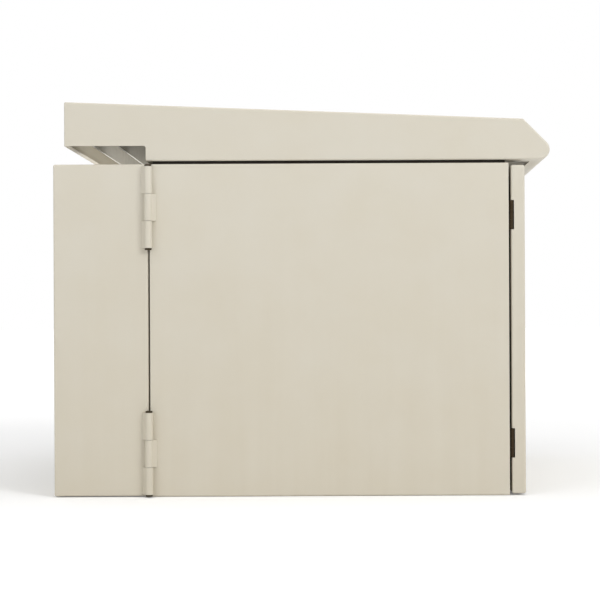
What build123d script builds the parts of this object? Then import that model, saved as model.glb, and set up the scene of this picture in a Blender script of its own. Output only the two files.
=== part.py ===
from build123d import *
import os
from math import radians, tan

os.makedirs("parts", exist_ok=True)

# Overall sizes in millimetres: X along the photographed side, Y away from the viewer, Z up
body_length = 449.0
body_width = 560.0
body_height = 416.0
sheet = 1.5
inner_bend = 0.7
flange = 26.0
weld_gap = 0.3
screw_gap = 0.3
running_gap = 0.08

# Doors: the deep one on the left, the shallow one on the right
deep_door_depth = 118.4
deep_door_gap = 2.2
deep_door_lift = 1.0
shallow_door_depth = 17.2
shallow_door_gap = 3.0
shallow_door_lift = 2.2
shallow_door_drop = 3.0
door_return = 24.0

# Roof hood
roof_gap = 3.9
roof_front_overhang = 106.6
roof_front_height = 74.3
roof_fall_angle = 2.32
roof_apex_overhang = 18.6
roof_chamfer_angle = 45.0
roof_nose_radius = 12.6
roof_step_overhang = 4.5
roof_step_height = 19.0

# Planes that the pieces share
outer_bend = sheet + inner_bend
left_edge = -body_length / 2
right_edge = body_length / 2
near_face = -body_width / 2
far_face = body_width / 2
floor_top = 2 * sheet
deck_underside = body_height - floor_top
deep_inner_x = left_edge - deep_door_gap
deep_outer_x = deep_inner_x - deep_door_depth
shallow_inner_x = right_edge + shallow_door_gap
shallow_outer_x = shallow_inner_x + shallow_door_depth


def block(x0, x1, y0, y1, z0, z1):
    centre = Pos((x0 + x1) / 2, (y0 + y1) / 2, (z0 + z1) / 2)
    return centre * Box(abs(x1 - x0), abs(y1 - y0), abs(z1 - z0))


def rod(radius, x0, x1, y, z):
    return Pos((x0 + x1) / 2, y, z) * Rot(0, 90, 0) * Cylinder(radius, abs(x1 - x0))


def peg(radius, x, y0, y1, z):
    return Pos(x, (y0 + y1) / 2, z) * Rot(90, 0, 0) * Cylinder(radius, abs(y1 - y0))


def post(radius, x, y, z0, z1):
    return Pos(x, y, (z0 + z1) / 2) * Cylinder(radius, abs(z1 - z0))


def hexagon(across, height):
    return extrude(RegularPolygon(across / 2, 6, major_radius=False), amount=height)


# Anchor holes through the bottom flanges and the floor
anchor_pitch_x = 350.0
anchor_radius = 5.5
anchor_pitch_y = body_width - flange

# Roof fixings through the top flanges
roof_bolt_pitch = 150.0
roof_bolt_count = 3
roof_bolt_radius = 3.0
roof_bolt_across = 10.0
roof_bolt_head = 4.0
roof_nut_height = 5.0
roof_bolt_y = body_width / 2 - flange / 2
anchor_places = list(GridLocations(anchor_pitch_x, anchor_pitch_y, 2, 2))
roof_bolt_places = list(GridLocations(roof_bolt_pitch, 2 * roof_bolt_y, roof_bolt_count, 2))


def drill(piece, places, radius, z0, z1):
    for place in places:
        piece -= place * post(radius, 0, 0, z0, z1)
    return piece


# Side panels: sheets folded along the top and the bottom, one the mirror of the other
def folded_side(inset, bend):
    x_reach = body_length / 2 + inset
    solid = block(-x_reach, x_reach, near_face + inset, near_face + flange, inset, body_height - inset)
    return fillet(solid.edges().filter_by(Axis.X).group_by(Axis.Y)[0], bend)


near_side_panel = folded_side(0, outer_bend) - folded_side(sheet, inner_bend)
near_side_panel = drill(near_side_panel, anchor_places, anchor_radius, 0, floor_top)
near_side_panel = drill(
    near_side_panel, roof_bolt_places, roof_bolt_radius + screw_gap, deck_underside, body_height
)
export_step(near_side_panel, "parts/near_side_panel.step")
far_side_panel = mirror(near_side_panel, about=Plane.XZ)
export_step(far_side_panel, "parts/far_side_panel.step")


# Door frames: flat rings welded into both ends of the body, which carry the gaskets
def door_frame(x0, x1):
    edge = sheet + weld_gap
    y_out = body_width / 2 - edge
    ring = block(x0, x1, -y_out, y_out, edge, body_height - edge)
    y_in = body_width / 2 - flange
    return ring - block(x0, x1, -y_in, y_in, flange, body_height - flange)


export_step(door_frame(left_edge, left_edge + sheet), "parts/deep_door_frame.step")
export_step(door_frame(right_edge - sheet, right_edge), "parts/shallow_door_frame.step")


# Floor and top: plates on the flanges of the side panels, between the door frames
def deck():
    x_reach = body_length / 2 - sheet - weld_gap
    y_reach = body_width / 2 - outer_bend - weld_gap
    return block(-x_reach, x_reach, -y_reach, y_reach, sheet, floor_top)


# Gland plate over an opening in the floor, with membrane grommets for the cables
gland_plate_length = 250.0
gland_plate_width = 120.0
gland_plate_sheet = 3.0
gland_plate_overlap = 16.0
gland_screw_inset = 8.0
gland_screw_radius = 2.5
gland_screw_head_radius = 4.5
gland_screw_head = 3.0
grommet_count = 4
grommet_neck_radius = 17.0
grommet_flange_radius = 21.0
grommet_flange = 2.5
grommet_membrane = 1.5
grommet_bore_radius = 13.0
gland_top = floor_top + gland_plate_sheet
gland_screw_places = list(
    GridLocations(
        gland_plate_length - 2 * gland_screw_inset, gland_plate_width - 2 * gland_screw_inset, 2, 2
    )
)
gland_mouth_x = gland_plate_length / 2 - gland_plate_overlap
gland_mouth_y = gland_plate_width / 2 - gland_plate_overlap
grommet_pitch = 2 * gland_mouth_x / grommet_count
grommet_places = list(GridLocations(grommet_pitch, 0, grommet_count, 1))

floor_pan = deck()
floor_pan -= block(-gland_mouth_x, gland_mouth_x, -gland_mouth_y, gland_mouth_y, sheet, floor_top)
floor_pan = drill(floor_pan, anchor_places, anchor_radius, 0, floor_top)
floor_pan = drill(floor_pan, gland_screw_places, gland_screw_radius + screw_gap, 0, floor_top)

gland_plate = Pos(0, 0, floor_top + gland_plate_sheet / 2) * Box(
    gland_plate_length, gland_plate_width, gland_plate_sheet
)
gland_plate = drill(gland_plate, gland_screw_places, gland_screw_radius + screw_gap, floor_top, gland_top)
gland_plate = drill(gland_plate, grommet_places, grommet_neck_radius + screw_gap, floor_top, gland_top)
export_step(gland_plate, "parts/gland_plate.step")

gland_screw = post(gland_screw_radius, 0, 0, sheet, gland_top)
gland_screw += post(gland_screw_head_radius, 0, 0, gland_top, gland_top + gland_screw_head)
gland_screws = [place * gland_screw for place in gland_screw_places]
export_step(Compound(gland_screws), "parts/gland_plate_screws.step")

grommet_low = floor_top - grommet_flange
grommet_high = gland_top + grommet_flange
grommet = post(grommet_neck_radius, 0, 0, grommet_low, grommet_high)
grommet += post(grommet_flange_radius, 0, 0, grommet_low, floor_top)
grommet += post(grommet_flange_radius, 0, 0, gland_top, grommet_high)
grommet -= post(grommet_bore_radius, 0, 0, grommet_low + grommet_membrane, grommet_high)
export_step(Compound([place * grommet for place in grommet_places]), "parts/cable_grommets.step")

# Rack rails: angles with square holes in rack units and a folded foot at each end
rack_side_room = 47.45
rack_hole = 9.5
rack_unit = 44.45
rack_hole_pitch = 15.875
rail_width = 20.0
rail_depth = 30.0
rail_set_back = 68.0
rail_end_margin = 20.0
rail_screw_radius = 2.5
rail_screw_head_radius = 4.5
rail_screw_head = 3.0
rail_x = left_edge + rail_set_back
rail_y = near_face + rack_side_room
rail_in = rail_y + rail_width / 2
rail_out = rail_y - rail_width / 2
rail_back = rail_x + rail_depth
rail_units = int((deck_underside - floor_top - 2 * rail_end_margin) // rack_unit)
rail_first = (floor_top + deck_underside - rail_units * rack_unit) / 2

rail = block(rail_x, rail_x + sheet, rail_out, rail_in, floor_top, deck_underside)
rail += block(rail_x, rail_back, rail_out, rail_out + sheet, floor_top, deck_underside)
rail += block(rail_x, rail_back, rail_out, rail_in, floor_top, floor_top + sheet)
rail += block(rail_x, rail_back, rail_out, rail_in, deck_underside - sheet, deck_underside)
for unit in range(rail_units):
    for step in (-1, 0, 1):
        hole_z = rail_first + unit * rack_unit + rack_unit / 2 + step * rack_hole_pitch
        rail -= Pos(rail_x + sheet / 2, rail_y, hole_z) * Box(sheet, rack_hole, rack_hole)
rail_screw_x = (rail_x + sheet + rail_back) / 2
rail_screw_y = (rail_out + sheet + rail_in) / 2
rail_screw_places = list(GridLocations(2 * rail_screw_x, 2 * rail_screw_y, 2, 2))
rail_hole_radius = rail_screw_radius + screw_gap
rail -= post(rail_hole_radius, rail_screw_x, rail_screw_y, floor_top, floor_top + sheet)
rail -= post(rail_hole_radius, rail_screw_x, rail_screw_y, deck_underside - sheet, deck_underside)
rail_far = mirror(rail, about=Plane.XZ)
export_step(rail, "parts/rack_rail_deep_near.step")
export_step(rail_far, "parts/rack_rail_deep_far.step")
export_step(mirror(rail, about=Plane.YZ), "parts/rack_rail_shallow_near.step")
export_step(mirror(rail_far, about=Plane.YZ), "parts/rack_rail_shallow_far.step")

floor_pan = drill(floor_pan, rail_screw_places, rail_hole_radius, 0, floor_top)
export_step(floor_pan, "parts/floor_pan.step")

rail_foot_top = floor_top + sheet
rail_screw = post(rail_screw_radius, 0, 0, sheet, rail_foot_top)
rail_screw += post(rail_screw_head_radius, 0, 0, rail_foot_top, rail_foot_top + rail_screw_head)
rail_screw_high = mirror(rail_screw, about=Plane.XY.offset(body_height / 2))
rail_screws = [place * screw for place in rail_screw_places for screw in (rail_screw, rail_screw_high)]
export_step(Compound(rail_screws), "parts/rail_screws.step")

# Fan under the top panel, blowing up into the hood
fan_side = 120.0
fan_depth = 25.0
fan_corner = 8.0
fan_duct_radius = 57.0
fan_screw_pitch = 105.0
fan_screw_radius = 2.0
fan_screw_head_radius = 3.8
fan_screw_head = 2.6
fan_screw_length = 18.0
fan_base_radius = 22.0
fan_base = 3.0
fan_strut = 5.0
fan_strut_count = 4
fan_shaft_radius = 3.0
fan_hub_radius = 20.0
fan_hub_height = 17.0
fan_blade_count = 7
fan_blade_chord = 30.0
fan_blade_sheet = 1.8
fan_blade_angle = 32.0
fan_tip_gap = 1.5
fan_end_gap = 1.0
fan_guard_rings = 3
fan_guard_wire = 2.0
fan_guard_bar = 3.0
fan_top = deck_underside
fan_low = fan_top - fan_depth
fan_screw_places = list(GridLocations(fan_screw_pitch, fan_screw_pitch, 2, 2))

top_panel = mirror(deck(), about=Plane.XY.offset(body_height / 2))
top_panel -= post(fan_duct_radius, 0, 0, deck_underside, body_height)
top_panel = drill(top_panel, fan_screw_places, fan_screw_radius + screw_gap, deck_underside, body_height)
top_panel = drill(top_panel, rail_screw_places, rail_hole_radius, deck_underside, body_height)
top_panel = drill(
    top_panel, roof_bolt_places, roof_bolt_radius + screw_gap, deck_underside, body_height
)
export_step(top_panel, "parts/top_panel.step")

fan_frame = Pos(0, 0, fan_low) * extrude(RectangleRounded(fan_side, fan_side, fan_corner), amount=fan_depth)
fan_frame -= post(fan_duct_radius, 0, 0, fan_low, fan_top)
fan_base_low = fan_top - fan_base
for strut in range(fan_strut_count):
    arm = block(0, fan_side / 2, -fan_strut / 2, fan_strut / 2, fan_base_low, fan_top)
    fan_frame += Rot(0, 0, strut * 360 / fan_strut_count) * arm
fan_frame += post(fan_base_radius, 0, 0, fan_base_low, fan_top)
fan_frame -= post(fan_shaft_radius + running_gap, 0, 0, fan_base_low, fan_top)
fan_frame = drill(fan_frame, fan_screw_places, fan_screw_radius + screw_gap, fan_low, fan_top)
export_step(fan_frame, "parts/fan_frame.step")

fan_hub_top = fan_base_low - fan_end_gap
fan_hub_low = fan_hub_top - fan_hub_height
fan_tip_radius = fan_duct_radius - fan_tip_gap
fan_rotor = post(fan_hub_radius, 0, 0, fan_hub_low, fan_hub_top)
fan_rotor += post(fan_shaft_radius, 0, 0, fan_hub_top, fan_top)
blade_room = post(fan_tip_radius, 0, 0, fan_hub_low, fan_hub_top)
blade_align = (Align.MIN, Align.CENTER, Align.CENTER)
blade_stock = Box(fan_tip_radius, fan_blade_chord, fan_blade_sheet, align=blade_align)
blade_middle = Pos(0, 0, (fan_hub_low + fan_hub_top) / 2)
for blade in range(fan_blade_count):
    turn = Rot(0, 0, blade * 360 / fan_blade_count)
    fan_rotor += turn * blade_middle * Rot(fan_blade_angle, 0, 0) * blade_stock & blade_room
export_step(fan_rotor, "parts/fan_rotor.step")

fan_guard_low = fan_low - fan_guard_wire
fan_guard = block(
    -fan_side / 2, fan_side / 2, -fan_guard_bar / 2, fan_guard_bar / 2, fan_guard_low, fan_low
)
fan_guard += Rot(0, 0, 90) * fan_guard
for ring in range(fan_guard_rings):
    ring_radius = fan_duct_radius * (ring + 1) / fan_guard_rings
    fan_guard += post(ring_radius, 0, 0, fan_guard_low, fan_low) - post(
        ring_radius - fan_guard_bar, 0, 0, fan_guard_low, fan_low
    )
export_step(fan_guard, "parts/fan_guard.step")

fan_screw_top = body_height - sheet
fan_screw = post(fan_screw_radius, 0, 0, fan_screw_top - fan_screw_length, fan_screw_top)
fan_screw += post(fan_screw_head_radius, 0, 0, fan_screw_top, fan_screw_top + fan_screw_head)
export_step(Compound([place * fan_screw for place in fan_screw_places]), "parts/fan_screws.step")

# Earth bar on standoffs on the far side panel
earth_bar_length = 150.0
earth_bar_width = 20.0
earth_bar_sheet = 5.0
earth_bar_z = 90.0
earth_screw_count = 6
earth_screw_pitch = 18.0
earth_screw_radius = 2.5
earth_screw_across = 8.0
earth_screw_head = 3.5
standoff_length = 18.0
standoff_radius = 8.0
standoff_inset = 14.0
standoff_face = far_face - sheet - standoff_length
earth_face = standoff_face - earth_bar_sheet
earth_half = earth_bar_length / 2
standoff_x = earth_half - standoff_inset
earth_bar = block(
    -earth_half, earth_half, earth_face, standoff_face,
    earth_bar_z - earth_bar_width / 2, earth_bar_z + earth_bar_width / 2,
)
earth_screw_xs = [(i - (earth_screw_count - 1) / 2) * earth_screw_pitch for i in range(earth_screw_count)]
for screw_x in earth_screw_xs:
    earth_bar -= peg(earth_screw_radius + screw_gap, screw_x, earth_face, standoff_face, earth_bar_z)
export_step(earth_bar, "parts/earth_bar.step")
standoff = peg(standoff_radius, standoff_x, standoff_face, far_face - sheet, earth_bar_z)
standoffs = [standoff, mirror(standoff, about=Plane.YZ)]
export_step(Compound(standoffs), "parts/earth_bar_standoffs.step")
earth_screw = Rot(90, 0, 0) * hexagon(earth_screw_across, earth_screw_head)
earth_screw += peg(earth_screw_radius, 0, 0, earth_bar_sheet, 0)
earth_screws = [Pos(x, earth_face, earth_bar_z) * earth_screw for x in earth_screw_xs]
export_step(Compound(earth_screws), "parts/earth_bar_screws.step")

# Roof hood: one folded shell with a stepped skirt, a sloping top and a rounded nose
hood_bend = 1.9
hood_step_fillet = 3.0
soffit_lip = 7.0
nose_lip = 23.0
skirt_z = body_height + roof_gap
soffit_z = skirt_z + roof_step_height
hood_front_x = left_edge - roof_front_overhang
hood_front_z = skirt_z + roof_front_height
hood_step_x = left_edge - roof_step_overhang
hood_apex_x = right_edge + roof_apex_overhang
roof_fall_share = tan(radians(roof_fall_angle))
hood_apex_z = hood_front_z - (hood_apex_x - hood_front_x) * roof_fall_share
hood_point_x = hood_apex_x + (hood_apex_z - skirt_z) / tan(radians(roof_chamfer_angle))

hood_outline = Polyline(
    (hood_front_x, soffit_z),
    (hood_front_x, hood_front_z),
    (hood_apex_x, hood_apex_z),
    (hood_point_x, skirt_z),
    (hood_step_x, skirt_z),
    (hood_step_x, soffit_z),
    close=True,
)
hood_face = make_face(hood_outline)
hood_face = fillet(hood_face.vertices().group_by(Axis.Y)[-1], hood_bend)
hood_face = fillet(hood_face.vertices().sort_by_distance((hood_apex_x, hood_apex_z))[0], hood_bend)
hood_face = fillet(hood_face.vertices().sort_by_distance((hood_step_x, soffit_z))[0], hood_step_fillet)
hood_face = fillet(hood_face.vertices().sort_by(Axis.X)[-1], roof_nose_radius)


def hood_solid(face, half_width, fold):
    solid = extrude(Plane.XZ * face, amount=half_width, both=True)
    sides = solid.faces().filter_by(Axis.Y)
    return fillet([side.edges().sort_by(Axis.Z)[-1] for side in sides], fold)


roof_hood = hood_solid(hood_face, body_width / 2, outer_bend)
hood_hollow = hood_solid(offset(hood_face, amount=-sheet), body_width / 2 - sheet, inner_bend)
hood_nose_x = roof_hood.bounding_box().max.X
roof_hood -= hood_hollow
roof_hood -= block(
    hood_front_x + soffit_lip, hood_step_x,
    near_face + sheet, far_face - sheet,
    soffit_z - sheet, soffit_z + sheet,
)
roof_hood -= block(
    hood_step_x + outer_bend, hood_nose_x - nose_lip,
    near_face + flange, far_face - flange,
    skirt_z, skirt_z + sheet,
)
roof_hood = drill(roof_hood, roof_bolt_places, roof_bolt_radius + screw_gap, skirt_z, skirt_z + sheet)
export_step(roof_hood, "parts/roof_hood.step")

# Rain baffles under the high end and the insect screen behind them
baffle_first = 35.8
baffle_pitch = 31.2
baffle_height = 28.0
baffle_sheet = 2.0
baffle_names = ("rain_baffle_front", "rain_baffle_back")
for number, name in enumerate(baffle_names):
    baffle_x = hood_front_x + baffle_first + number * baffle_pitch
    baffle = block(
        baffle_x - baffle_sheet / 2, baffle_x + baffle_sheet / 2,
        near_face + sheet, far_face - sheet,
        soffit_z, soffit_z + baffle_height,
    )
    export_step(baffle, f"parts/{name}.step")

screen_sheet = 1.0
screen_x = hood_step_x + sheet
screen_low = skirt_z + outer_bend + weld_gap
screen_run = screen_x + screen_sheet - hood_front_x
screen_high = hood_front_z - screen_run * roof_fall_share - outer_bend - weld_gap
screen_half = body_width / 2 - outer_bend - weld_gap
insect_screen = block(screen_x, screen_x + screen_sheet, -screen_half, screen_half, screen_low, screen_high)
export_step(insect_screen, "parts/insect_screen.step")

# Rubber strips that bed the hood on the body, bolts from inside and nuts above the skirt lips
strip_end_inset = 4.0
strip_side_inset = 4.0
strip_reach = body_length / 2 - strip_end_inset
bedding_strip = block(
    -strip_reach, strip_reach,
    near_face + strip_side_inset, near_face + flange - strip_side_inset,
    body_height, skirt_z,
)
bedding_strip = drill(
    bedding_strip, roof_bolt_places, roof_bolt_radius + screw_gap, body_height, skirt_z
)
bedding_strips = [bedding_strip, mirror(bedding_strip, about=Plane.XZ)]
export_step(Compound(bedding_strips), "parts/roof_bedding_strips.step")
roof_nut_low = skirt_z + sheet
roof_bolt_top = roof_nut_low + roof_nut_height
roof_bolt = post(roof_bolt_radius, 0, 0, deck_underside, roof_bolt_top + sheet)
roof_bolt += Pos(0, 0, deck_underside - roof_bolt_head) * hexagon(roof_bolt_across, roof_bolt_head)
export_step(Compound([place * roof_bolt for place in roof_bolt_places]), "parts/roof_bolts.step")
roof_nut = Pos(0, 0, roof_nut_low) * hexagon(roof_bolt_across, roof_nut_height)
roof_nut -= post(roof_bolt_radius + screw_gap, 0, 0, roof_nut_low, roof_bolt_top)
export_step(Compound([place * roof_nut for place in roof_bolt_places]), "parts/roof_nuts.step")

# Gaskets that fill the gaps round the two door openings
gasket_width = 10.0
gasket_inset = 13.0


def gasket(x0, x1):
    y_out = body_width / 2 - gasket_inset
    z_high = body_height - gasket_inset
    ring = block(x0, x1, -y_out, y_out, gasket_inset, z_high)
    y_in = y_out - gasket_width
    return ring - block(x0, x1, -y_in, y_in, gasket_inset + gasket_width, z_high - gasket_width)


export_step(gasket(deep_inner_x, left_edge), "parts/deep_door_gasket.step")
export_step(gasket(right_edge, shallow_inner_x), "parts/shallow_door_gasket.step")


# Doors: dishes folded on every edge, open towards the body
def dish(x0, x1, z0, z1):
    shell = fillet(block(x0, x1, near_face, far_face, z0, z1).edges(), outer_bend)
    hollow = block(x0 + sheet, x1 - sheet, near_face + sheet, far_face - sheet, z0 + sheet, z1 - sheet)
    shell -= fillet(hollow.edges(), inner_bend)
    return shell


def mouth(x0, x1, z0, z1):
    y_reach = body_width / 2 - door_return
    return block(x0, x1, -y_reach, y_reach, z0 + door_return, z1 - door_return)


# Louvres pressed out of the deep door
louvre_count = 6
louvre_pitch = 23.0
louvre_length = 220.0
louvre_height = 17.0
louvre_depth = 9.0
louvre_sheet = 1.5
louvre_middle_z = 150.0


def louvre_form(depth, height):
    arc = EllipticalCenterArc((0, 0), depth, height, 0, arc_size=90)
    back = Polyline((0, height), (-sheet, height), (-sheet, 0), (depth, 0))
    section = Plane.XZ * make_face([arc, back])
    bar = extrude(section, amount=louvre_length / 2, both=True)
    end = Pos(0, louvre_length / 2, 0) * revolve(section, Axis((-sheet, 0, 0), (0, 0, 1)), 90)
    return Rot(0, 0, 180) * (bar + end + mirror(end, about=Plane.XZ))


louvre_skin = louvre_form(louvre_depth, louvre_height)
louvre_void = louvre_form(louvre_depth - louvre_sheet, louvre_height - louvre_sheet)
deep_door_shell = dish(deep_outer_x, deep_inner_x, deep_door_lift, body_height)
deep_door_shell -= mouth(deep_inner_x - sheet, deep_inner_x, deep_door_lift, body_height)
louvre_first_z = louvre_middle_z - louvre_pitch * louvre_count / 2
for number in range(louvre_count):
    place = Pos(deep_outer_x, 0, louvre_first_z + number * louvre_pitch)
    deep_door_shell += place * louvre_skin
    deep_door_shell -= place * louvre_void

# Filter behind the louvres
filter_width = 270.0
filter_height = 160.0
filter_depth = 12.0
filter_border = 14.0
filter_lip = 2.0
filter_bar = 6.0
pad_inset = 0.3
filter_screw_radius = 2.0
filter_screw_head_radius = 3.8
filter_screw_head = 2.4
filter_x = deep_outer_x + sheet
filter_back = filter_x + filter_depth
pad_y = filter_width / 2 - filter_border
pad_low = louvre_middle_z - filter_height / 2 + filter_border
pad_high = louvre_middle_z + filter_height / 2 - filter_border
filter_screw_y = filter_width / 2 - filter_border / 2
filter_screw_z = filter_height / 2 - filter_border / 2
filter_frame = block(
    filter_x, filter_back, -filter_width / 2, filter_width / 2,
    louvre_middle_z - filter_height / 2, louvre_middle_z + filter_height / 2,
)
filter_frame -= block(filter_x, filter_back - filter_lip, -pad_y, pad_y, pad_low, pad_high)
filter_window = block(filter_back - filter_lip, filter_back, -pad_y, pad_y, pad_low, pad_high)
filter_window -= block(
    filter_back - filter_lip, filter_back, -filter_bar / 2, filter_bar / 2, pad_low, pad_high
)
filter_window -= block(
    filter_back - filter_lip, filter_back, -pad_y, pad_y,
    louvre_middle_z - filter_bar / 2, louvre_middle_z + filter_bar / 2,
)
filter_frame -= filter_window
filter_screws = []
for y in (-filter_screw_y, filter_screw_y):
    for z in (louvre_middle_z - filter_screw_z, louvre_middle_z + filter_screw_z):
        filter_frame -= rod(filter_screw_radius + screw_gap, filter_x, filter_back, y, z)
        screw = rod(filter_screw_radius, filter_x, filter_back, y, z)
        screw += rod(filter_screw_head_radius, filter_back, filter_back + filter_screw_head, y, z)
        filter_screws.append(screw)
export_step(filter_frame, "parts/filter_frame.step")
export_step(Compound(filter_screws), "parts/filter_screws.step")
filter_pad = block(
    filter_x, filter_back - filter_lip, -pad_y + pad_inset, pad_y - pad_inset,
    pad_low + pad_inset, pad_high - pad_inset,
)
export_step(filter_pad, "parts/filter_pad.step")

# Barrel hinges on the left seam: welded knuckles on a headed pin
hinge_length = 102.0
hinge_inset = 54.4
knuckle_radius = 5.0
knuckle_gap = 0.4
knuckle_foot = 9.0
knuckle_toe = 0.8
pin_radius = 3.0
pin_head_radius = 4.3
pin_head = 2.2
pin_end_gap = 0.1
hinge_x = left_edge - deep_door_gap / 2
hinge_y = near_face - knuckle_radius
knuckle_length = (hinge_length - 2 * knuckle_gap) / 3
hinge_spots = (("lower", hinge_inset), ("upper", body_height - hinge_inset))


def knuckle(side, z0):
    section = Circle(knuckle_radius)
    foot = Polyline(
        (0, 0),
        (side * knuckle_radius, 0),
        (side * knuckle_foot, knuckle_radius - knuckle_toe),
        (side * knuckle_foot, knuckle_radius),
        (0, knuckle_radius),
        close=True,
    )
    section += make_face(foot)
    section -= Circle(pin_radius + running_gap)
    return Pos(hinge_x, hinge_y, z0) * extrude(section, amount=knuckle_length)


for level, hinge_z in hinge_spots:
    hinge_low = hinge_z - hinge_length / 2
    hinge_high = hinge_z + hinge_length / 2
    low_knuckle = knuckle(-1, hinge_low)
    high_knuckle = knuckle(-1, hinge_high - knuckle_length)
    export_step(Compound([low_knuckle, high_knuckle]), f"parts/{level}_hinge_door_knuckles.step")
    export_step(knuckle(1, hinge_z - knuckle_length / 2), f"parts/{level}_hinge_body_knuckle.step")
    shank_low = hinge_low - pin_end_gap
    shank_high = hinge_high + pin_end_gap
    hinge_pin = post(pin_radius, hinge_x, hinge_y, shank_low, shank_high)
    hinge_pin += post(pin_head_radius, hinge_x, hinge_y, shank_low - pin_head, shank_low)
    hinge_pin += post(pin_head_radius, hinge_x, hinge_y, shank_high, shank_high + pin_head)
    export_step(hinge_pin, f"parts/{level}_hinge_pin.step")

# Butt hinges sunk into slots in the edge of the shallow door
butt_height = 36.0
butt_inset = 65.3
butt_radius = 2.5
butt_pin_radius = 1.2
butt_leaf = 1.2
butt_leaf_width = 8.0
butt_axis_inset = 0.8
butt_knuckle_gap = 0.3
butt_slot_gap = 0.35
butt_leaf_gap = 0.4
butt_x = shallow_inner_x + butt_axis_inset
butt_y = near_face + butt_radius
butt_leaf_y = butt_y + butt_radius + butt_leaf_gap
butt_leaf_end = butt_y + butt_leaf_width
butt_knuckle = (butt_height - 2 * butt_knuckle_gap) / 3
butt_spots = (("lower", butt_inset), ("upper", body_height - butt_inset))

shallow_top = body_height - shallow_door_drop
shallow_door_shell = dish(shallow_inner_x, shallow_outer_x, shallow_door_lift, shallow_top)
shallow_door_shell -= mouth(shallow_inner_x, shallow_inner_x + sheet, shallow_door_lift, shallow_top)


def butt_barrel(z0):
    return post(butt_radius, butt_x, butt_y, z0, z0 + butt_knuckle)


for level, butt_z in butt_spots:
    butt_low = butt_z - butt_height / 2
    butt_high = butt_z + butt_height / 2
    high_start = butt_high - butt_knuckle
    middle_start = butt_z - butt_knuckle / 2
    bore = post(butt_pin_radius + running_gap, butt_x, butt_y, butt_low, butt_high)
    body_leaf_x = right_edge + butt_leaf
    body_leaf = block(right_edge, body_leaf_x, butt_leaf_y, butt_leaf_end, butt_low, butt_high)
    for start in (butt_low, high_start):
        body_leaf += butt_barrel(start)
        body_leaf += block(right_edge, body_leaf_x, butt_y, butt_leaf_y, start, start + butt_knuckle)
        body_leaf += block(right_edge, butt_x, butt_y, butt_y + butt_leaf, start, start + butt_knuckle)
    export_step(body_leaf - bore, f"parts/{level}_butt_hinge_body_leaf.step")
    door_leaf_x = shallow_inner_x - butt_leaf
    door_leaf = block(door_leaf_x, shallow_inner_x, butt_leaf_y, butt_leaf_end, butt_low, butt_high)
    door_leaf += butt_barrel(middle_start)
    door_leaf += block(
        door_leaf_x, shallow_inner_x, butt_y, butt_leaf_y, middle_start, middle_start + butt_knuckle
    )
    export_step(door_leaf - bore, f"parts/{level}_butt_hinge_door_leaf.step")
    butt_pin = post(butt_pin_radius, butt_x, butt_y, butt_low, butt_high)
    export_step(butt_pin, f"parts/{level}_butt_hinge_pin.step")
    shallow_door_shell -= block(
        shallow_inner_x, butt_x + butt_radius + butt_slot_gap,
        near_face, butt_y + butt_radius + butt_slot_gap,
        butt_low - butt_slot_gap, butt_high + butt_slot_gap,
    )

# Quarter-turn latches at the far edges of both doors, drawn unlocked with the cams hanging
latch_inset_z = 75.0
latch_edge_gap = 3.0
latch_bezel_radius = 15.0
latch_bezel = 5.0
latch_bezel_round = 1.5
latch_barrel_radius = 11.0
latch_barrel_length = 12.0
latch_head_radius = 8.0
latch_head_set_back = 1.0
latch_shaft_radius = 5.0
latch_square = 7.0
latch_square_gap = 0.1
latch_nut_across = 30.0
latch_nut = 4.0
latch_key_radius = 5.0
latch_key_depth = 7.0
latch_cap = 1.5
cam_width = 18.0
cam_reach = 28.0
cam_sheet = 3.0
cam_gap = 3.0
latch_y = far_face - flange - latch_edge_gap - cam_width / 2
latch_levels = (("lower", latch_inset_z), ("upper", body_height - latch_inset_z))
deep_cam_x = left_edge + sheet + cam_gap
shallow_cam_x = right_edge - sheet - cam_gap


def latch_housing(outer_x, outward, z):
    bezel_x = outer_x + outward * latch_bezel
    inner_x = outer_x - outward * latch_barrel_length
    bezel = rod(latch_bezel_radius, outer_x, bezel_x, latch_y, z)
    rim = bezel.edges().sort_by_distance((bezel_x, latch_y + latch_bezel_radius, z))[0]
    bezel = fillet(rim, latch_bezel_round)
    bezel += rod(latch_barrel_radius, outer_x, inner_x, latch_y, z)
    return bezel - rod(latch_head_radius + running_gap, bezel_x, inner_x, latch_y, z)


def latch_nut_ring(outer_x, outward, z):
    face_x = outer_x - outward * sheet
    ring = Rot(0, 90, 0) * hexagon(latch_nut_across, latch_nut)
    ring -= rod(latch_barrel_radius + screw_gap, 0, latch_nut, 0, 0)
    return Pos(min(face_x, face_x - outward * latch_nut), latch_y, z) * ring


def latch_spindle(outer_x, outward, cam_x, z):
    front_x = outer_x + outward * (latch_bezel - latch_head_set_back)
    head_x = outer_x - outward * latch_barrel_length
    cam_back = cam_x - outward * cam_sheet
    end_x = cam_back - outward * latch_cap
    spindle = rod(latch_head_radius, front_x, head_x, latch_y, z)
    spindle += rod(latch_shaft_radius, head_x, cam_x, latch_y, z)
    half = latch_square / 2
    spindle += block(cam_x, cam_back, latch_y - half, latch_y + half, z - half, z + half)
    spindle += rod(latch_shaft_radius, cam_back, end_x, latch_y, z)
    key = Rot(0, 90, 0) * extrude(RegularPolygon(latch_key_radius, 3), amount=latch_key_depth)
    key_x = min(front_x, front_x - outward * latch_key_depth)
    return spindle - Pos(key_x, latch_y, z) * key


def latch_cam(outward, cam_x, z):
    cam_back = cam_x - outward * cam_sheet
    half = cam_width / 2
    cam = block(cam_x, cam_back, latch_y - half, latch_y + half, z - cam_reach, z)
    cam += rod(half, cam_x, cam_back, latch_y, z)
    hole = latch_square / 2 + latch_square_gap
    return cam - block(cam_x, cam_back, latch_y - hole, latch_y + hole, z - hole, z + hole)


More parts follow.
